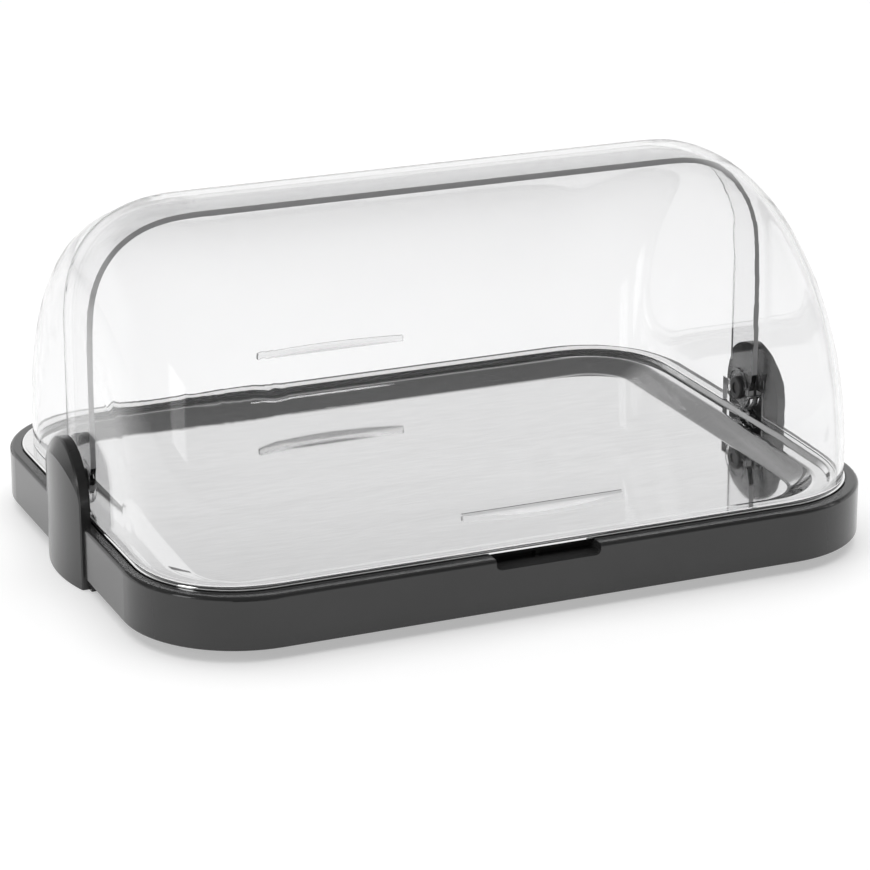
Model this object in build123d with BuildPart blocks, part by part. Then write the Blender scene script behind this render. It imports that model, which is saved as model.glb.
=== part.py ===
from build123d import *

# Roll-top chilled display case for a counter: a plastic base with cold packs under a steel tray, and two
# clear half covers that roll over each other about one axis between two end pillars.
# Millimetres, +X along the long side, -Y towards the front, +Z up, origin on the table under the middle.

import os
from math import atan2, degrees

# Base moulding
base_length = 424.0
base_width = 322.0
base_corner = 64.0
base_height = 29.0
base_clearance = 6.5
base_wall = 2.6
base_floor = 2.5
floor_recess = 1.0
lip_end = 5.8
lip_side = 8.3
lip_corner = 57.0
lip_height = 1.5
lip_round = 2.0
skirt_round = 1.0
ledge_width = 14.0
gusset_thickness = 2.0
gusset_drop = 3.0
gusset_pitch = 62.0

# Finger recess in the front wall
recess_width = 60.0
recess_height = 6.0
recess_depth = 15.0
recess_round = 3.0

# Steel tray
tray_gap = 0.7
tray_sheet = 0.8
tray_skirt = 1.8
tray_rim_round = 1.2
tray_rim_width = 7.5
tray_rim_drop = 2.6
tray_shelf = 7.0
tray_well_drop = 6.0
tray_well_run = 14.0
tray_well_bend = 5.0
tray_drop_bend = 1.2

# Clear half covers
cover_wall = 3.0
bend_spread = 1.3
bend_hold = 0.35
cover_inset = 0.5
cover_step = 5.0
cover_overlap = 16.0
cover_rest_gap = 0.3
hub_radius = 12.6
hub_floor_gap = 0.4
hub_notch = 19.0
hub_notch_rise = 1.3
hub_taper = 12.0
ring_radius = 12.0
ring_width = 1.4
ring_height = 1.2

# Grips on the covers
grip_chord = 92.0
grip_depth = 9.6
grip_tip = 2.4
grip_rise = 5.8
grip_root = 3.9
grip_lip = 2.4

# Pivots
pin_radius = 5.0
pin_clearance = 0.05
pin_head_radius = 6.8
pin_head_height = 2.2
pin_dimple_radius = 3.2
pin_dimple_depth = 0.7
pin_depth = 3.6
side_gap = 0.3
washer_radius = 8.0
outer_washer = 1.2
inner_washer = 1.4

# End pillars
pillar_width = 61.0
pillar_top = 76.5
pillar_setback = 4.2
pillar_socket = 2.2
pillar_crown = 6.0
pillar_floor_gap = 0.3
pillar_foot_reach = 15.5
pillar_foot_flare = 4.0
arch_edge_face = 5.7
arch_bevel = 1.0
band_slope = 0.5
bearing_boss_radius = 9.0
socket_side_gap = 0.4

# Screws that hold the pillars
screw_radius = 1.5
screw_length = 16.0
screw_head_radius = 3.0
screw_head_height = 1.8
screw_spread = 18.0
screw_boss_radius = 4.0
screw_clearance = 0.05

# Cold packs
pack_side_gap = 20.0
pack_end_gap = 10.0
pack_top_gap = 0.2
pack_corner = 16.0
pack_round = 2.5
pack_split = 8.0
pack_notch_width = 34.0
pack_notch_depth = 14.0
pack_groove = 1.2
pack_groove_width = 10.0
cap_radius = 7.0
cap_length = 10.0
cap_end = 2.0
neck_radius = 4.5
neck_clearance = 0.05
rib_height = 6.0
rib_thickness = 2.0
rib_gap = 1.0

# Rubber feet
foot_radius = 9.0
foot_taper = 12.0
foot_seat = 1.0
foot_end_inset = 62.0
foot_side_inset = 53.0

# Heights and half sizes that follow
floor_low = base_clearance + floor_recess
floor_top = floor_low + base_floor
lip_top = base_clearance + base_height
ledge_top = lip_top - lip_height
lip_half_x = base_length / 2 - lip_end
lip_half_y = base_width / 2 - lip_side
tub_half_x = lip_half_x - ledge_width
tub_half_y = lip_half_y - ledge_width
tub_corner = lip_corner - ledge_width
rim_underside = ledge_top - base_wall
pocket_low = lip_top - recess_height
tray_half_x = lip_half_x - tray_gap
tray_half_y = lip_half_y - tray_gap
tray_corner = lip_corner - tray_gap
shelf_top = ledge_top + tray_sheet
tray_top = shelf_top + tray_rim_drop
well_top = shelf_top - tray_well_drop
cover_half_x = tray_half_x - cover_inset
cover_radius = tray_half_y - cover_inset
cover_corner = tray_corner - cover_inset
cover_low = tray_top + cover_rest_gap
pivot_z = cover_low + hub_floor_gap + hub_radius
rear_half_x = cover_half_x - cover_step
rear_radius = cover_radius - cover_step
rear_corner = cover_corner - cover_step
washer_face = cover_half_x + side_gap + outer_washer
end_face = base_length / 2
pillar_inner = end_face - pillar_setback
socket_face = end_face - pillar_socket
head_face = rear_half_x - cover_wall - side_gap
ring_face = rear_half_x - cover_wall - ring_height
channel_outer_x = base_length / 2 - base_wall
channel_inner_x = tub_half_x + base_wall
channel_outer_y = base_width / 2 - base_wall
channel_inner_y = tub_half_y + base_wall
screw_x = (channel_outer_x + channel_inner_x) / 2
pack_top = well_top - tray_sheet - pack_top_gap
pack_width = tub_half_x - pack_side_gap - pack_split / 2
pack_length = 2 * (tub_half_y - pack_end_gap)
pack_x = (pack_split + pack_width) / 2
neck_z = (floor_top + pack_top) / 2
pivot_axis = Axis((0, 0, pivot_z), (1, 0, 0))
sides = {"left": -1, "right": 1}

os.makedirs("parts", exist_ok=True)


def rounded_block(half_x, half_y, corner, low, high, mode=Mode.ADD, taper=0.0):
    """A block of rounded plan between two heights; the half sizes are those at its lower end."""
    with BuildSketch(Plane.XY.offset(low)) as outline:
        RectangleRounded(2 * half_x, 2 * half_y, corner)
    extrude(outline.sketch, amount=high - low, mode=mode, taper=taper)


def end_bar(radius, start, end, side, z=pivot_z, mode=Mode.ADD):
    """A round bar along X on one end of the case, between two distances from the middle."""
    with BuildSketch(Plane.YZ.offset(side * start)) as disc:
        with Locations((0, z)):
            Circle(radius)
    extrude(disc.sketch, amount=side * (end - start), mode=mode)


# The base: a tub with a hollow rim that is open underneath
with BuildPart() as base_shell:
    rounded_block(base_length / 2, base_width / 2, base_corner, base_clearance, lip_top)
    fillet(base_shell.faces().sort_by(Axis.Z)[-1].outer_wire().edges(), lip_round)
    fillet(base_shell.faces().sort_by(Axis.Z)[0].outer_wire().edges(), skirt_round)
    rounded_block(lip_half_x, lip_half_y, lip_corner, ledge_top, lip_top, Mode.SUBTRACT)
    rounded_block(tub_half_x, tub_half_y, tub_corner, floor_top, lip_top, Mode.SUBTRACT)
    with BuildSketch(Plane.XY.offset(base_clearance)):
        RectangleRounded(2 * channel_outer_x, 2 * channel_outer_y, base_corner - base_wall)
        RectangleRounded(
            2 * channel_inner_x, 2 * channel_inner_y, tub_corner + base_wall, mode=Mode.SUBTRACT
        )
    extrude(amount=rim_underside - base_clearance, mode=Mode.SUBTRACT)
    rounded_block(tub_half_x, tub_half_y, tub_corner, base_clearance, floor_low, Mode.SUBTRACT)

    # Gussets that tie the two walls of the rim together
    with BuildSketch(Plane.XY.offset(base_clearance + gusset_drop)):
        with Locations(
            (0, (channel_inner_y + channel_outer_y) / 2), (0, -(channel_inner_y + channel_outer_y) / 2)
        ):
            with GridLocations(gusset_pitch, 1, 5, 1):
                Rectangle(gusset_thickness, channel_outer_y - channel_inner_y + base_wall)
        with GridLocations(channel_inner_x + channel_outer_x, 2 * gusset_pitch, 2, 2):
            Rectangle(channel_outer_x - channel_inner_x + base_wall, gusset_thickness)
    extrude(amount=rim_underside - base_clearance - gusset_drop)

    # Bosses for the screws that hold the pillars, and the sockets that the pillars stand in
    with BuildSketch(Plane.XY.offset(base_clearance)):
        with GridLocations(2 * screw_x, 2 * screw_spread, 2, 2):
            Circle(screw_boss_radius)
        with GridLocations(2 * (socket_face - base_wall / 2), 1, 2, 1):
            Rectangle(base_wall, pillar_width + 2 * base_wall + 2 * socket_side_gap)
        with GridLocations(
            2 * (socket_face + channel_outer_x) / 2,
            pillar_width + base_wall + 2 * socket_side_gap,
            2,
            2,
        ):
            Rectangle(channel_outer_x - socket_face + base_wall, base_wall)
    extrude(amount=rim_underside - base_clearance)
    with BuildSketch(Plane.XY.offset(base_clearance)):
        with GridLocations(2 * screw_x, 2 * screw_spread, 2, 2):
            Circle(screw_radius + screw_clearance)
    extrude(amount=screw_length, mode=Mode.SUBTRACT)
    with BuildSketch(Plane.XY.offset(base_clearance)):
        with GridLocations(base_length, 1, 2, 1):
            Rectangle(2 * pillar_socket, pillar_width + 2 * socket_side_gap)
    extrude(amount=base_height, mode=Mode.SUBTRACT)

    # Finger recess under the front edge of the tray, with its own walls inside the hollow rim
    with BuildSketch(Plane.XZ.offset(channel_outer_y)):
        with Locations((0, pocket_low - base_wall / 2)):
            Rectangle(recess_width + 2 * base_wall, base_wall)
        with Locations((0, (pocket_low + rim_underside) / 2)):
            with GridLocations(recess_width + base_wall, 1, 2, 1):
                Rectangle(base_wall, rim_underside - pocket_low + 2 * base_wall)
    extrude(amount=-(recess_depth - base_wall))
    with BuildSketch(Plane.XZ.offset(base_width / 2)):
        with Locations((0, lip_top + recess_height)):
            RectangleRounded(recess_width, 4 * recess_height, recess_round)
    extrude(amount=-recess_depth, mode=Mode.SUBTRACT)

    # Ribs that keep the cold packs in place
    with BuildSketch(Plane.XY.offset(floor_top)):
        Rectangle(rib_thickness, pack_length / 2)
        with GridLocations(2 * (pack_split / 2 + pack_width + rib_gap + rib_thickness / 2), 1, 2, 1):
            Rectangle(rib_thickness, pack_length / 2)
        with GridLocations(2 * pack_x, pack_length + 2 * rib_gap + rib_thickness, 2, 2):
            Rectangle(pack_width / 2, rib_thickness)
    extrude(amount=rib_height)

    # Round seats for the feet
    with BuildSketch(Plane.XY.offset(floor_low)):
        with GridLocations(base_length - 2 * foot_end_inset, base_width - 2 * foot_side_inset, 2, 2):
            Circle(foot_radius)
    extrude(amount=foot_seat, mode=Mode.SUBTRACT)
base_shell.part.label = "base_shell"
export_step(base_shell.part, "parts/base_shell.step")



def level_face(part, height):
    """The flat face of a part at one height."""
    return part.faces().filter_by(Plane.XY).sort_by(lambda face: abs(face.center().Z - height))[0]


# The steel tray: a raised rim, a drop to a narrow shelf that lies on the ledge, and a shallow well
well_taper = degrees(atan2(tray_well_run, tray_well_drop))
shelf_outer = tray_rim_width + tray_rim_drop
shelf_inner = shelf_outer + tray_shelf
well_edge = shelf_inner + tray_well_run
with BuildPart() as tray:
    rounded_block(tray_half_x, tray_half_y, tray_corner, tray_top - tray_skirt, tray_top)
    fillet(tray.faces().sort_by(Axis.Z)[-1].outer_wire().edges(), tray_rim_round)
    rounded_block(
        tray_half_x - tray_sheet,
        tray_half_y - tray_sheet,
        tray_corner - tray_sheet,
        tray_top - tray_skirt,
        tray_top - tray_sheet,
        Mode.SUBTRACT,
    )
    rounded_block(
        tray_half_x - shelf_outer,
        tray_half_y - shelf_outer,
        tray_corner - shelf_outer,
        shelf_top - tray_sheet,
        tray_top - tray_sheet,
        taper=-45,
    )
    rounded_block(
        tray_half_x - well_edge,
        tray_half_y - well_edge,
        tray_corner - well_edge,
        well_top - tray_sheet,
        shelf_top - tray_sheet,
        taper=-well_taper,
    )
    rounded_block(
        tray_half_x - shelf_outer,
        tray_half_y - shelf_outer,
        tray_corner - shelf_outer,
        shelf_top,
        tray_top,
        Mode.SUBTRACT,
        taper=-45,
    )
    rounded_block(
        tray_half_x - well_edge,
        tray_half_y - well_edge,
        tray_corner - well_edge,
        well_top,
        shelf_top,
        Mode.SUBTRACT,
        taper=-well_taper,
    )

    # Soft bends, the same on both faces of the sheet
    for sink, inner, outer in ((0.0, tray_sheet, 0.0), (tray_sheet, 0.0, tray_sheet)):
        fillet(level_face(tray, tray_top - sink).inner_wires()[0].edges(), tray_drop_bend + inner)
        fillet(level_face(tray, shelf_top - sink).outer_wire().edges(), tray_drop_bend + outer)
        fillet(level_face(tray, shelf_top - sink).inner_wires()[0].edges(), tray_well_bend + inner)
        fillet(level_face(tray, well_top - sink).outer_wire().edges(), tray_well_bend + outer)
tray.part.label = "tray"
export_step(tray.part, "parts/tray.step")


# The clear half covers: each is a turned shell cut along flat edges, with a hub at each end
def make_grip(radius, facing):
    """A ledge to pull by: curved in plan, and thinner towards its outer edge."""
    root = facing * (radius - cover_wall / 2)
    tip = facing * (radius + grip_tip)
    edge = facing * (radius + grip_depth)
    low = pivot_z + grip_rise
    with BuildPart() as grip:
        with BuildSketch(Plane.YZ.offset(-grip_chord / 2)):
            with BuildLine():
                Polyline(
                    (root, low), (root, low + grip_root), (edge, low + grip_lip), (edge, low), close=True
                )
            make_face()
        extrude(amount=grip_chord)
        with BuildSketch(Plane.XY.offset(low)):
            with BuildLine():
                Polyline(
                    (-grip_chord / 2, tip),
                    (-grip_chord / 2, root),
                    (grip_chord / 2, root),
                    (grip_chord / 2, tip),
                )
                ThreePointArc((grip_chord / 2, tip), (0, edge), (-grip_chord / 2, tip))
            make_face()
        extrude(amount=grip_root, mode=Mode.INTERSECT)
    return grip


def make_profile(half_x, radius, corner):
    """The outline that a cover is turned from: straight ends and top, joined by bends that start gently."""
    top = pivot_z + radius
    start = corner * bend_spread
    near = start * (1 - bend_hold)
    nearer = start * (1 - 2 * bend_hold)
    with BuildSketch(Plane.XZ) as profile:
        with BuildLine():
            Polyline((-half_x, top - start), (-half_x, pivot_z), (half_x, pivot_z), (half_x, top - start))
            for end in sides.values():
                Bezier(
                    (end * half_x, top - start),
                    (end * half_x, top - near),
                    (end * half_x, top - nearer),
                    (end * (half_x - nearer), top),
                    (end * (half_x - near), top),
                    (end * (half_x - start), top),
                )
            Line((half_x - start, top), (start - half_x, top))
        make_face()
    return profile.sketch


def make_cover(half_x, radius, corner, facing):
    """One half cover; facing is -1 for the front and 1 for the rear."""
    grip = make_grip(radius, facing)
    with BuildPart() as cover:
        revolve(make_profile(half_x, radius, corner), axis=pivot_axis)
        revolve(
            make_profile(half_x - cover_wall, radius - cover_wall, corner - cover_wall),
            axis=pivot_axis,
            mode=Mode.SUBTRACT,
        )
        with BuildSketch(Plane.YZ.offset(-half_x)) as kept:
            with BuildLine() as border:
                Polyline(
                    (facing * radius, cover_low),
                    (facing * hub_notch, cover_low),
                    (facing * hub_notch, pivot_z + hub_notch_rise),
                    (-facing * hub_radius, pivot_z + hub_notch_rise),
                    (-facing * cover_overlap, pivot_z + hub_taper),
                    (-facing * cover_overlap, pivot_z + radius),
                    (facing * radius, pivot_z + radius),
                    close=True,
                )
            make_face(border.line)
            with Locations((0, pivot_z)):
                Circle(hub_radius)
        extrude(kept.sketch, amount=2 * half_x, mode=Mode.INTERSECT)
        add(grip.part)
        end_bar(pin_radius + pin_clearance, -half_x, half_x, 1, mode=Mode.SUBTRACT)
    return cover


front_cover = make_cover(cover_half_x, cover_radius, cover_corner, -1)
front_cover.part.label = "front_cover"
export_step(front_cover.part, "parts/front_cover.step")
rear_cover = make_cover(rear_half_x, rear_radius, rear_corner, 1)
with rear_cover:
    for side in sides.values():
        end_bar(ring_radius, ring_face, rear_half_x - cover_wall, side)
        end_bar(ring_radius - ring_width, ring_face, rear_half_x - cover_wall, side, mode=Mode.SUBTRACT)
rear_cover.part.label = "rear_cover"
export_step(rear_cover.part, "parts/rear_cover.step")

# End pillars, each with its pivot pin and washers
arch_radius = pillar_width / 2
arch_z = pillar_top - arch_radius
edge_face = pillar_inner + arch_edge_face
bevel_face = edge_face - arch_bevel / 2
band_start = edge_face + band_slope * arch_bevel
crown_face = end_face + pillar_crown
pin_end = pillar_inner + pin_depth
for name, side in sides.items():
    with BuildPart() as pillar:
        with BuildSketch(Plane.XY.offset(pillar_floor_gap)):
            with BuildLine():
                Polyline(
                    (side * edge_face, -arch_radius),
                    (side * (end_face - pillar_foot_reach), -arch_radius),
                    (side * (end_face - pillar_foot_reach), arch_radius),
                    (side * edge_face, arch_radius),
                )
                ThreePointArc(
                    (side * edge_face, arch_radius), (side * crown_face, 0), (side * edge_face, -arch_radius)
                )
            make_face()
        extrude(amount=pillar_top - pillar_floor_gap)
        with BuildSketch(Plane.YZ):
            with Locations((0, arch_z)):
                Circle(arch_radius)
            Rectangle(pillar_width, arch_z, align=(Align.CENTER, Align.MIN))
        extrude(amount=side * base_length, mode=Mode.INTERSECT)
        with BuildSketch(Plane.XZ, mode=Mode.PRIVATE) as band:
            with BuildLine():
                Polyline(
                    (side * bevel_face, arch_z + arch_radius),
                    (side * band_start, arch_z + arch_radius - arch_bevel),
                    (side * (edge_face + band_slope * arch_radius), arch_z),
                    (side * base_length, arch_z),
                    (side * base_length, arch_z + arch_radius),
                    close=True,
                )
            make_face()
        for turn in (-1, 1):
            revolve(
                band.sketch,
                axis=Axis((0, 0, arch_z), (turn, 0, 0)),
                revolution_arc=90,
                mode=Mode.SUBTRACT,
            )
        with BuildSketch(Plane.XY) as bevels:
            for edge in (-1, 1):
                with BuildLine():
                    Polyline(
                        (side * bevel_face, edge * arch_radius),
                        (side * band_start, edge * (arch_radius - arch_bevel)),
                        (side * band_start, edge * arch_radius),
                        close=True,
                    )
                make_face()
        extrude(bevels.sketch, amount=arch_z, mode=Mode.SUBTRACT)
        with BuildSketch(Plane.XZ.offset(-arch_radius)):
            with BuildLine():
                Polyline(
                    (side * (end_face - 2 * pillar_foot_reach), base_clearance),
                    (side * socket_face, base_clearance),
                    (side * socket_face, lip_top),
                    (side * pillar_inner, lip_top),
                    (side * pillar_inner, pillar_top),
                    (side * (end_face - 2 * pillar_foot_reach), pillar_top),
                    close=True,
                )
            make_face()
        extrude(amount=pillar_width, mode=Mode.SUBTRACT)
        with BuildSketch(Plane.XY.offset(pillar_floor_gap)):
            with Locations((side * (end_face - pillar_foot_reach + socket_face) / 2, 0)):
                Rectangle(
                    socket_face - end_face + pillar_foot_reach, pillar_width + 2 * pillar_foot_flare
                )
        extrude(amount=base_clearance - pillar_floor_gap)
        end_bar(bearing_boss_radius, washer_face, pillar_inner, side)
        end_bar(pin_radius, washer_face, pin_end, side, mode=Mode.SUBTRACT)
        with BuildSketch(Plane.XY.offset(pillar_floor_gap)):
            with Locations((side * screw_x, screw_spread), (side * screw_x, -screw_spread)):
                Circle(screw_radius + screw_clearance)
        extrude(amount=base_clearance - pillar_floor_gap, mode=Mode.SUBTRACT)
        with BuildSketch(Plane.XY.offset(pillar_floor_gap)):
            with Locations((side * screw_x, screw_spread), (side * screw_x, -screw_spread)):
                Circle(screw_head_radius + screw_clearance)
        extrude(amount=screw_head_height + screw_clearance, mode=Mode.SUBTRACT)
    pillar.part.label = f"pillar_{name}"
    export_step(pillar.part, f"parts/pillar_{name}.step")

    with BuildPart() as pin:
        end_bar(pin_radius, head_face, pin_end, side)
        end_bar(pin_head_radius, head_face - pin_head_height, head_face, side)
        fillet(pin.edges().group_by(Axis.X)[0 if side > 0 else -1], pin_head_height / 2)
        end_bar(
            pin_dimple_radius,
            head_face - pin_head_height,
            head_face - pin_head_height + pin_dimple_depth,
            side,
            mode=Mode.SUBTRACT,
        )
    pin.part.label = f"pivot_pin_{name}"
    export_step(pin.part, f"parts/pivot_pin_{name}.step")

    with BuildPart() as washer:
        end_bar(washer_radius, washer_face - outer_washer, washer_face, side)
        end_bar(pin_radius, washer_face - outer_washer, washer_face, side, mode=Mode.SUBTRACT)
    washer.part.label = f"outer_washer_{name}"
    export_step(washer.part, f"parts/outer_washer_{name}.step")

    washer_start = rear_half_x + (cover_step - cover_wall - inner_washer) / 2
    with BuildPart() as washer:
        end_bar(washer_radius, washer_start, washer_start + inner_washer, side)
        end_bar(pin_radius, washer_start, washer_start + inner_washer, side, mode=Mode.SUBTRACT)
    washer.part.label = f"inner_washer_{name}"
    export_step(washer.part, f"parts/inner_washer_{name}.step")

# Four equal screws that hold the pillars from below
with BuildPart() as pillar_screws:
    with BuildSketch(Plane.XY.offset(pillar_floor_gap)):
        with GridLocations(2 * screw_x, 2 * screw_spread, 2, 2):
            Circle(screw_head_radius)
    extrude(amount=screw_head_height)
    with BuildSketch(Plane.XY.offset(pillar_floor_gap)):
        with GridLocations(2 * screw_x, 2 * screw_spread, 2, 2):
            Circle(screw_radius)
    extrude(amount=screw_length)
    with BuildSketch(Plane.XY.offset(pillar_floor_gap)):
        with GridLocations(2 * screw_x, 2 * screw_spread, 2, 2):
            RegularPolygon(screw_radius, 6)
    extrude(amount=screw_head_height / 2, mode=Mode.SUBTRACT)
pillar_screws.part.label = "pillar_screws"
export_step(pillar_screws.part, "parts/pillar_screws.step")

# Cold packs with a filler neck in a notch at the front, and their caps
neck_start = pack_length / 2 - pack_notch_depth
for name, side in sides.items():
    with BuildPart() as pack:
        with BuildSketch(Plane.XY.offset(floor_top)):
            with Locations((side * pack_x, 0)):
                RectangleRounded(pack_width, pack_length, pack_corner)
        extrude(amount=pack_top - floor_top)
        fillet(pack.faces().sort_by(Axis.Z)[-1].outer_wire().edges(), pack_round)
        fillet(pack.faces().sort_by(Axis.Z)[0].outer_wire().edges(), pack_round)
        with BuildSketch(Plane.XY.offset(floor_top)):
            with Locations((side * pack_x, -pack_length / 2)):
                Rectangle(pack_notch_width, 2 * pack_notch_depth)
        extrude(amount=pack_top - floor_top, mode=Mode.SUBTRACT)
        with BuildSketch(Plane.XY.offset(pack_top - pack_groove)):
            with Locations((side * pack_x, 0)):
                with GridLocations(pack_width / 4, 1, 3, 1):
                    SlotOverall(pack_length * 2 / 3, pack_groove_width, rotation=90)
        extrude(amount=pack_groove, mode=Mode.SUBTRACT)
        with BuildSketch(Plane.XZ.offset(neck_start)):
            with Locations((side * pack_x, neck_z)):
                Circle(neck_radius)
        extrude(amount=pack_notch_depth - 2 * cap_end)
    pack.part.label = f"cold_pack_{name}"
    export_step(pack.part, f"parts/cold_pack_{name}.step")

    with BuildPart() as cap:
        with BuildSketch(Plane.XZ.offset(pack_length / 2 - cap_length)):
            with Locations((side * pack_x, neck_z)):
                Circle(cap_radius)
        extrude(amount=cap_length)
        with BuildSketch(Plane.XZ.offset(pack_length / 2 - cap_length)):
            with Locations((side * pack_x, neck_z)):
                Circle(neck_radius + neck_clearance)
        extrude(amount=cap_length - cap_end, mode=Mode.SUBTRACT)
    cap.part.label = f"pack_cap_{name}"
    export_step(cap.part, f"parts/pack_cap_{name}.step")

# Rubber feet
foot_x = base_length / 2 - foot_end_inset
foot_y = base_width / 2 - foot_side_inset
for x, y, name in (
    (-foot_x, -foot_y, "front_left"),
    (foot_x, -foot_y, "front_right"),
    (-foot_x, foot_y, "rear_left"),
    (foot_x, foot_y, "rear_right"),
):
    with BuildPart() as foot:
        with BuildSketch(Plane.XY.offset(floor_low + foot_seat)):
            with Locations((x, y)):
                Circle(foot_radius)
        extrude(amount=-foot_seat)
        with BuildSketch(Plane.XY.offset(floor_low)):
            with Locations((x, y)):
                Circle(foot_radius)
        extrude(amount=-floor_low, taper=foot_taper)
    foot.part.label = f"foot_{name}"
    export_step(foot.part, f"parts/foot_{name}.step")
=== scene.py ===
from math import cos, radians, sin

import bpy
from mathutils import Matrix, Vector

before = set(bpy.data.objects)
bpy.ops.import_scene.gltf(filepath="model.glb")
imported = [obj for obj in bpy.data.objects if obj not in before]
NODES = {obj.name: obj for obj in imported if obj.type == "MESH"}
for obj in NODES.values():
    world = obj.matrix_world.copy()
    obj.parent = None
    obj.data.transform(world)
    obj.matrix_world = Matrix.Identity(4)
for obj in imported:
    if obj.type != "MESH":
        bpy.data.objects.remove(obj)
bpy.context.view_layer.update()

# Camera: its angles, distance and framing were fitted to the photograph, which is 870 pixels square
PHOTO_PX = 870
CAMERA_AZIMUTH = radians(-23.17)
CAMERA_ELEVATION = radians(18.01)
CAMERA_ROLL = radians(-0.14)
CAMERA_DISTANCE = 1.8567
CAMERA_TARGET = Vector((0.0, 0.0, 0.0888))
FOCAL_PX = 3328.3
OFFSET_X_PX = -7.69
OFFSET_Y_PX = -67.92
SENSOR_MM = 36.0
FARTHEST_SEEN = 50.0

# Covers: how far from the middle and how high their cut edges lie, and how clear those edges are
EDGE_REACH = 0.03
EDGE_HEIGHT = 0.04
EDGE_CLEAR = 0.52

# Covers: what their thickness takes from the light, per metre, so long paths at the outline look grey
COVER_TINT = (0.30, 0.30, 0.31, 1.0)
COVER_DENSITY = 12.0

# Covers: the cosine between smooth and facet normal under which the smooth one isn't used
SMOOTH_ENOUGH = 0.997

# Grips: beyond the outer radius of their cover about the hinge, and how clear they are
HINGE_HEIGHT = 0.0507
FRONT_GRIP = 0.1520
REAR_GRIP = 0.1470
FRONT_GRIP_CLEAR = 0.40
REAR_GRIP_CLEAR = 0.90

# Covers: refraction, how much plain reflection they keep, and the share of lamp light let through
COVER_IOR = 1.49
COVER_SHEEN = (0.3, 0.3, 0.3, 1.0)
COVER_SHADOW = (0.955, 0.955, 0.958, 1.0)

# Covers: a faint haze in colour and gloss, and a faint ripple; every scale counts forms per metre
HAZE_SCALE = 14.0
HAZE_COLOURS = ((0.3, (0.962, 0.962, 0.964)), (0.7, (0.970, 0.970, 0.972)))
HAZE_ROUGH = 0.02
RIPPLE_SCALE = 9.0
RIPPLE_HEIGHT = 0.0006
RIPPLE_STRENGTH = 0.15

# Cut edges: a normal whose part along an axis is above this faces along that axis
FACES_AXIS = 0.99

# Pillars: their faces towards the covers lie nearer the middle than this, and reflect less, as painted
# shade
PILLAR_INSIDE = 0.2085
PLAIN_SPECULAR = 0.5
SHADE_SPECULAR = 0.1

# Moulded skins: blotches and grain, how far gloss varies, and the roughness of a coat
BLOTCH_SCALE = 22.0
GRAIN_SCALE = 900.0
GRAIN_STRENGTH = 0.6
GLOSS_SPREAD = 0.04
COAT_ROUGH = 0.08

# Polished steel: wiping marks drawn out along X, what they do to grey and gloss, and low waves
MARK_SCALE = 60.0
MARK_STRETCH = (1.0, 9.0, 1.0)
MARK_FADE = 0.04
MARK_SMOOTHEST = 0.6
MARK_ROUGHEST = 1.4
WAVE_SCALE = 7.0
WAVE_HEIGHT = 0.0008
WAVE_STRENGTH = 0.12

# Studio: the light of wall and ceiling at each height, and how the room dims away from the wall
WALL_STOPS = ((0.0, 1.0), (0.26, 1.0), (0.34, 0.90), (0.48, 0.36), (0.75, 0.14))
ROOM_STOPS = ((0.0, 0.22), (0.6, 0.32), (0.85, 0.60), (1.0, 1.0))
TOWARDS_WALL = (0.38, 0.92, 0.0)
ROOM_FROM = -0.8
ROOM_TO = 0.3

# Floor: half its width, its surface, and the light it gives off itself, which keeps shadows pale
HALF_FLOOR = 6.0
FLOOR_SCALE = 3.0
FLOOR_GREYS = ((0.3, 0.60), (0.7, 0.62))
FLOOR_ROUGH = 0.6
FLOOR_GLOW = 0.42

# Lamps: place, target, size and power
FILL = ((0.0, 0.3, 2.6), (0.0, 0.0, 0.0), (4.0, 4.0), 105.0)
KEY = ((-1.7, -0.5, 0.8), (0.0, 0.0, 0.08), (0.5, 0.9), 5.0)


def nodes_of(material):
    """The node tree of a material, cleared, with an output."""
    material.use_nodes = True
    tree = material.node_tree
    tree.nodes.clear()
    return tree, tree.nodes.new("ShaderNodeOutputMaterial")


def add(tree, kind, links=None, **values):
    """A node with its values set by name, and links given as {input: output socket}."""
    node = tree.nodes.new(kind)
    for name, value in values.items():
        setattr(node, name, value)
    for name, source in (links or {}).items():
        if isinstance(source, bpy.types.NodeSocket):
            tree.links.new(source, node.inputs[name])
        else:
            node.inputs[name].default_value = source
    return node


def noise(tree, scale, detail=3.0, stretch=(1.0, 1.0, 1.0)):
    """Noise in the object's own space, which is the shared frame in metres."""
    place = add(tree, "ShaderNodeTexCoord")
    mapping = add(tree, "ShaderNodeMapping", {"Vector": place.outputs["Object"], "Scale": stretch})
    return add(
        tree, "ShaderNodeTexNoise", {"Vector": mapping.outputs[0], "Scale": scale, "Detail": detail}
    ).outputs["Fac"]


def ramp(tree, source, stops):
    """A colour ramp; stops are (place, colour or grey)."""
    node = add(tree, "ShaderNodeValToRGB", {"Fac": source})
    elements = node.color_ramp.elements
    while len(elements) < len(stops):
        elements.new(0.5)
    for element, (place, colour) in zip(elements, stops):
        if not hasattr(colour, "__len__"):
            colour = (colour, colour, colour)
        element.position = place
        element.color = (*colour, 1.0)
    return node.outputs["Color"]


def spread(tree, source, low, high):
    """source, from 0 to 1, mapped to low..high."""
    return add(tree, "ShaderNodeMapRange", {"Value": source, "To Min": low, "To Max": high}).outputs[0]


def calc(tree, operation, first, second=0.0):
    """One sum on numbers or sockets."""
    return add(tree, "ShaderNodeMath", {0: first, 1: second}, operation=operation).outputs[0]


def parts_of(tree, output):
    """The X, Y and Z of an output of the texture coordinates, such as Object or Normal."""
    place = add(tree, "ShaderNodeTexCoord")
    split = add(tree, "ShaderNodeSeparateXYZ", {"Vector": place.outputs[output]})
    return split.outputs


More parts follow.
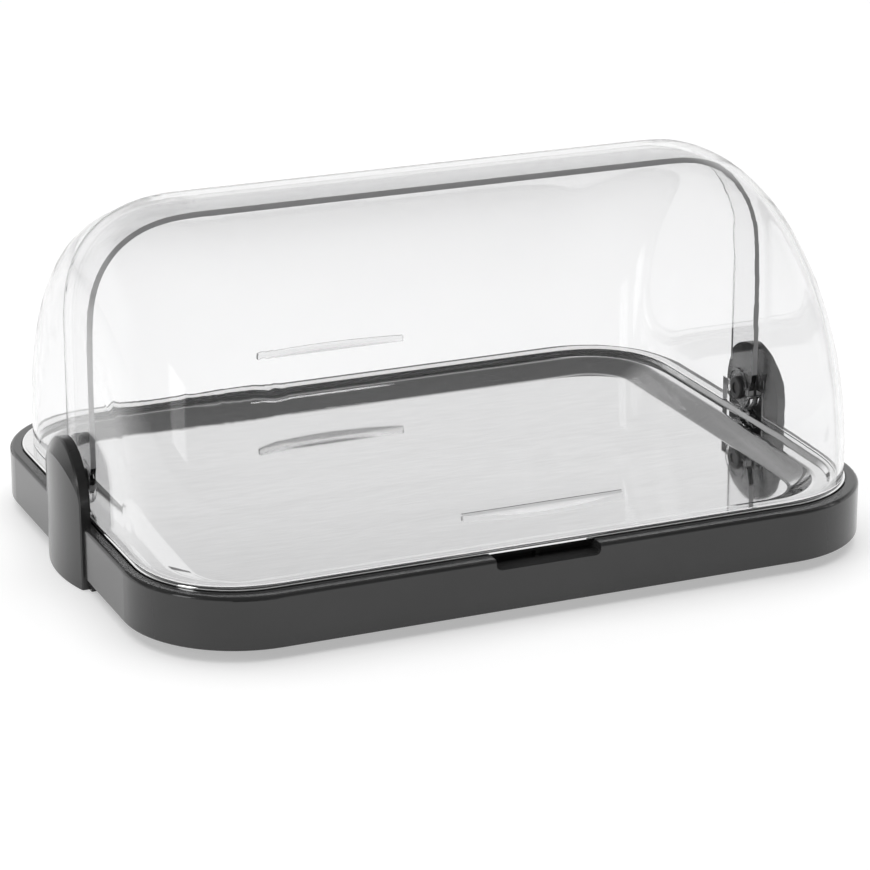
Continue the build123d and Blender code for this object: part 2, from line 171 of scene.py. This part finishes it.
def moulded(name, dark, light, rough, grain=0.00004, coat=0.0, scale=GRAIN_SCALE, shade_inside=0.0):
    """Moulded plastic: faint blotches of colour and gloss, a fine skin texture, and inside faces that
    reflect less as painted shade.
    """
    material = bpy.data.materials.new(name)
    tree, out = nodes_of(material)
    blotch = noise(tree, BLOTCH_SCALE, detail=4.0)
    skin = noise(tree, scale, detail=2.0)
    bump = add(
        tree, "ShaderNodeBump", {"Height": skin, "Distance": grain, "Strength": GRAIN_STRENGTH}
    )
    values = {
        "Base Color": ramp(tree, blotch, ((0.3, dark), (0.7, light))),
        "Roughness": spread(tree, blotch, rough - GLOSS_SPREAD, rough + GLOSS_SPREAD),
        "Normal": bump.outputs[0],
        "Coat Weight": coat,
        "Coat Roughness": COAT_ROUGH,
    }
    # Painted shade: faces inside the covers get less specular reflection and no coat, so they look
    # darker
    if shade_inside:
        from_middle = calc(tree, "ABSOLUTE", parts_of(tree, "Object")["X"])
        in_shade = calc(tree, "LESS_THAN", from_middle, shade_inside)
        values["Specular IOR Level"] = spread(tree, in_shade, PLAIN_SPECULAR, SHADE_SPECULAR)
        values["Coat Weight"] = spread(tree, in_shade, coat, 0.0)
    shader = add(tree, "ShaderNodeBsdfPrincipled", values)
    tree.links.new(shader.outputs[0], out.inputs["Surface"])
    return material


def cut_edges(tree):
    """1 on the flat cut edges of a cover, which face along Y near the middle or along Z low down."""
    place = parts_of(tree, "Object")
    normal = parts_of(tree, "Normal")
    faces_y = calc(tree, "GREATER_THAN", calc(tree, "ABSOLUTE", normal["Y"]), FACES_AXIS)
    near_middle = calc(tree, "LESS_THAN", calc(tree, "ABSOLUTE", place["Y"]), EDGE_REACH)
    faces_z = calc(tree, "GREATER_THAN", calc(tree, "ABSOLUTE", normal["Z"]), FACES_AXIS)
    at_bottom = calc(tree, "LESS_THAN", place["Z"], EDGE_HEIGHT)
    return calc(
        tree,
        "MAXIMUM",
        calc(tree, "MULTIPLY", faces_y, near_middle),
        calc(tree, "MULTIPLY", faces_z, at_bottom),
    )


def grip_of(tree, radius):
    """1 on the grip of a cover, which stands out beyond its radius about the hinge."""
    place = parts_of(tree, "Object")
    over_hinge = calc(tree, "SUBTRACT", place["Z"], HINGE_HEIGHT)
    squares = calc(
        tree,
        "ADD",
        calc(tree, "MULTIPLY", place["Y"], place["Y"]),
        calc(tree, "MULTIPLY", over_hinge, over_hinge),
    )
    return calc(tree, "GREATER_THAN", squares, radius * radius)


def sound_normal(tree):
    """The smooth normal, or the facet's own where a tiny triangle has turned the smooth one too far."""
    facet = add(tree, "ShaderNodeNewGeometry").outputs
    agree = add(
        tree,
        "ShaderNodeVectorMath",
        {0: facet["Normal"], 1: facet["True Normal"]},
        operation="DOT_PRODUCT",
    ).outputs["Value"]
    astray = calc(tree, "LESS_THAN", agree, SMOOTH_ENOUGH)
    # The mix keeps sockets of all kinds: 0 is its factor, 4 and 5 are its vectors, and 1 is the result
    choice = add(tree, "ShaderNodeMix", data_type="VECTOR")
    tree.links.new(astray, choice.inputs[0])
    tree.links.new(facet["Normal"], choice.inputs[4])
    tree.links.new(facet["True Normal"], choice.inputs[5])
    return choice.outputs[1]


def clear_plastic(name, grip_radius, grip_clear):
    """Clear moulded plastic, which lamps shine through; its cut edges and its grip look frosted."""
    material = bpy.data.materials.new(name)
    tree, out = nodes_of(material)
    haze = noise(tree, HAZE_SCALE, detail=3.0)
    ripple = noise(tree, RIPPLE_SCALE, detail=2.0)
    bump = add(
        tree,
        "ShaderNodeBump",
        {
            "Height": ripple,
            "Distance": RIPPLE_HEIGHT,
            "Strength": RIPPLE_STRENGTH,
            "Normal": sound_normal(tree),
        },
    )
    shader = add(
        tree,
        "ShaderNodeBsdfPrincipled",
        {
            "Base Color": ramp(tree, haze, HAZE_COLOURS),
            "Roughness": spread(tree, haze, 0.0, HAZE_ROUGH),
            "Normal": bump.outputs[0],
            "IOR": COVER_IOR,
            "Specular Tint": COVER_SHEEN,
            "Transmission Weight": calc(
                tree,
                "MINIMUM",
                spread(tree, cut_edges(tree), 1.0, EDGE_CLEAR),
                spread(tree, grip_of(tree, grip_radius), 1.0, grip_clear),
            ),
        },
    )
    through = add(tree, "ShaderNodeBsdfTransparent", {"Color": COVER_SHADOW})
    ray = add(tree, "ShaderNodeLightPath")
    mix = add(tree, "ShaderNodeMixShader")
    tree.links.new(ray.outputs["Is Shadow Ray"], mix.inputs[0])
    tree.links.new(shader.outputs[0], mix.inputs[1])
    tree.links.new(through.outputs[0], mix.inputs[2])
    tree.links.new(mix.outputs[0], out.inputs["Surface"])
    body = add(tree, "ShaderNodeVolumeAbsorption", {"Color": COVER_TINT, "Density": COVER_DENSITY})
    tree.links.new(body.outputs[0], out.inputs["Volume"])
    return material


def mirror_steel(name, rough, tint):
    """Polished steel with faint long waves and fine wiping marks."""
    material = bpy.data.materials.new(name)
    tree, out = nodes_of(material)
    marks = noise(tree, MARK_SCALE, detail=6.0, stretch=MARK_STRETCH)
    wave = noise(tree, WAVE_SCALE, detail=1.0)
    bump = add(
        tree, "ShaderNodeBump", {"Height": wave, "Distance": WAVE_HEIGHT, "Strength": WAVE_STRENGTH}
    )
    shader = add(
        tree,
        "ShaderNodeBsdfPrincipled",
        {
            "Base Color": ramp(tree, marks, ((0.35, tint - MARK_FADE), (0.65, tint))),
            "Roughness": spread(tree, marks, rough * MARK_SMOOTHEST, rough * MARK_ROUGHEST),
            "Metallic": 1.0,
            "Normal": bump.outputs[0],
        },
    )
    tree.links.new(shader.outputs[0], out.inputs["Surface"])
    return material


# Materials: moulded ones by darkest and lightest colour and roughness, steel by roughness and grey
CHARCOAL = moulded("charcoal_plastic", 0.022, 0.027, 0.18, coat=0.15)
PILLAR = moulded("pillar_plastic", 0.019, 0.024, 0.22, coat=0.15, shade_inside=PILLAR_INSIDE)
FRONT_CLEAR = clear_plastic("clear_front_plastic", FRONT_GRIP, FRONT_GRIP_CLEAR)
REAR_CLEAR = clear_plastic("clear_rear_plastic", REAR_GRIP, REAR_GRIP_CLEAR)
STEEL = mirror_steel("polished_tray_steel", 0.05, 0.92)
PIN = moulded("pin_plastic", 0.010, 0.014, 0.35)
WASHER = moulded("washer_plastic", 0.020, 0.026, 0.4)
ZINC = mirror_steel("zinc_screw", 0.3, 0.6)
PACK = moulded("cold_pack_plastic", (0.05, 0.16, 0.42), (0.07, 0.2, 0.5), 0.4, scale=500.0)
CAP = moulded("cap_plastic", 0.75, 0.82, 0.4)
RUBBER = moulded("foot_rubber", 0.02, 0.03, 0.75, grain=0.00008)

DRESS = {
    "base_shell": CHARCOAL,
    "pillar": PILLAR,
    "tray": STEEL,
    "front_cover": FRONT_CLEAR,
    "rear_cover": REAR_CLEAR,
    "pivot_pin": PIN,
    "outer_washer": WASHER,
    "inner_washer": WASHER,
    "pillar_screws": ZINC,
    "cold_pack": PACK,
    "pack_cap": CAP,
    "foot": RUBBER,
}

for name, node in NODES.items():
    material = DRESS[max((key for key in DRESS if name.startswith(key)), key=len)]
    if not node.material_slots:
        node.data.materials.append(material)
    for place in node.material_slots:
        place.material = material

# Floor
floor_data = bpy.data.meshes.new("floor")
floor_data.from_pydata(
    [(x * HALF_FLOOR, y * HALF_FLOOR, 0.0) for x, y in ((-1, -1), (1, -1), (1, 1), (-1, 1))],
    [],
    [(0, 1, 2, 3)],
)
floor = bpy.data.objects.new("floor", floor_data)
bpy.context.scene.collection.objects.link(floor)
floor_material = bpy.data.materials.new("pale_floor")
tree, out = nodes_of(floor_material)
floor_shader = add(
    tree,
    "ShaderNodeBsdfPrincipled",
    {
        "Base Color": ramp(tree, noise(tree, FLOOR_SCALE), FLOOR_GREYS),
        "Roughness": FLOOR_ROUGH,
        "Emission Color": (1.0, 1.0, 1.0, 1.0),
        "Emission Strength": FLOOR_GLOW,
    },
)
tree.links.new(floor_shader.outputs[0], out.inputs["Surface"])
floor_data.materials.append(floor_material)

# The studio: a white wall low behind the object, a dark ceiling, and a dim room on the camera's side
world = bpy.data.worlds.new("studio")
bpy.context.scene.world = world
world.use_nodes = True
sky = world.node_tree
direction = add(sky, "ShaderNodeTexCoord").outputs["Generated"]
height = add(sky, "ShaderNodeSeparateXYZ", {"Vector": direction}).outputs["Z"]
wall = ramp(sky, height, WALL_STOPS)
towards_back = add(
    sky, "ShaderNodeVectorMath", {0: direction, 1: TOWARDS_WALL}, operation="DOT_PRODUCT"
).outputs["Value"]
side_shade = add(
    sky, "ShaderNodeMapRange", {"Value": towards_back, "From Min": ROOM_FROM, "From Max": ROOM_TO}
).outputs[0]
room = ramp(sky, side_shade, ROOM_STOPS)
glow = add(sky, "ShaderNodeVectorMath", {0: wall, 1: room}, operation="MULTIPLY").outputs["Vector"]
sky.links.new(glow, sky.nodes["Background"].inputs["Color"])
sky.nodes["Background"].inputs["Strength"].default_value = 1.0
bpy.context.scene.view_settings.view_transform = "Standard"
bpy.context.scene.view_settings.look = "None"


def lamp(name, place, target, size, power, mirrored=True):
    """A soft area light facing its target; mirrored says whether shiny and clear things show it."""
    data = bpy.data.lights.new(name, "AREA")
    data.shape = "RECTANGLE"
    data.size, data.size_y = size
    data.energy = power
    light = bpy.data.objects.new(name, data)
    bpy.context.scene.collection.objects.link(light)
    light.location = place
    light.rotation_euler = (Vector(target) - Vector(place)).to_track_quat("-Z", "Y").to_euler()
    light.visible_glossy = mirrored
    light.visible_transmission = mirrored


lamp("fill", *FILL, mirrored=False)
lamp("key", *KEY)

# Camera
away = Vector(
    (
        sin(CAMERA_AZIMUTH) * cos(CAMERA_ELEVATION),
        -cos(CAMERA_AZIMUTH) * cos(CAMERA_ELEVATION),
        sin(CAMERA_ELEVATION),
    )
)
flat_right = Vector((cos(CAMERA_AZIMUTH), sin(CAMERA_AZIMUTH), 0.0))
flat_up = away.cross(flat_right)
right = cos(CAMERA_ROLL) * flat_right + sin(CAMERA_ROLL) * flat_up
up = -sin(CAMERA_ROLL) * flat_right + cos(CAMERA_ROLL) * flat_up
camera_data = bpy.data.cameras.new("camera")
camera_data.sensor_fit = "HORIZONTAL"
camera_data.sensor_width = SENSOR_MM
camera_data.lens = SENSOR_MM * FOCAL_PX / PHOTO_PX
camera_data.shift_x = -OFFSET_X_PX / PHOTO_PX
camera_data.shift_y = OFFSET_Y_PX / PHOTO_PX
camera_data.clip_end = FARTHEST_SEEN
camera = bpy.data.objects.new("camera", camera_data)
bpy.context.scene.collection.objects.link(camera)
turn = Matrix((right, up, away)).transposed().to_4x4()
camera.matrix_world = Matrix.Translation(CAMERA_TARGET + away * CAMERA_DISTANCE) @ turn
bpy.context.scene.camera = camera
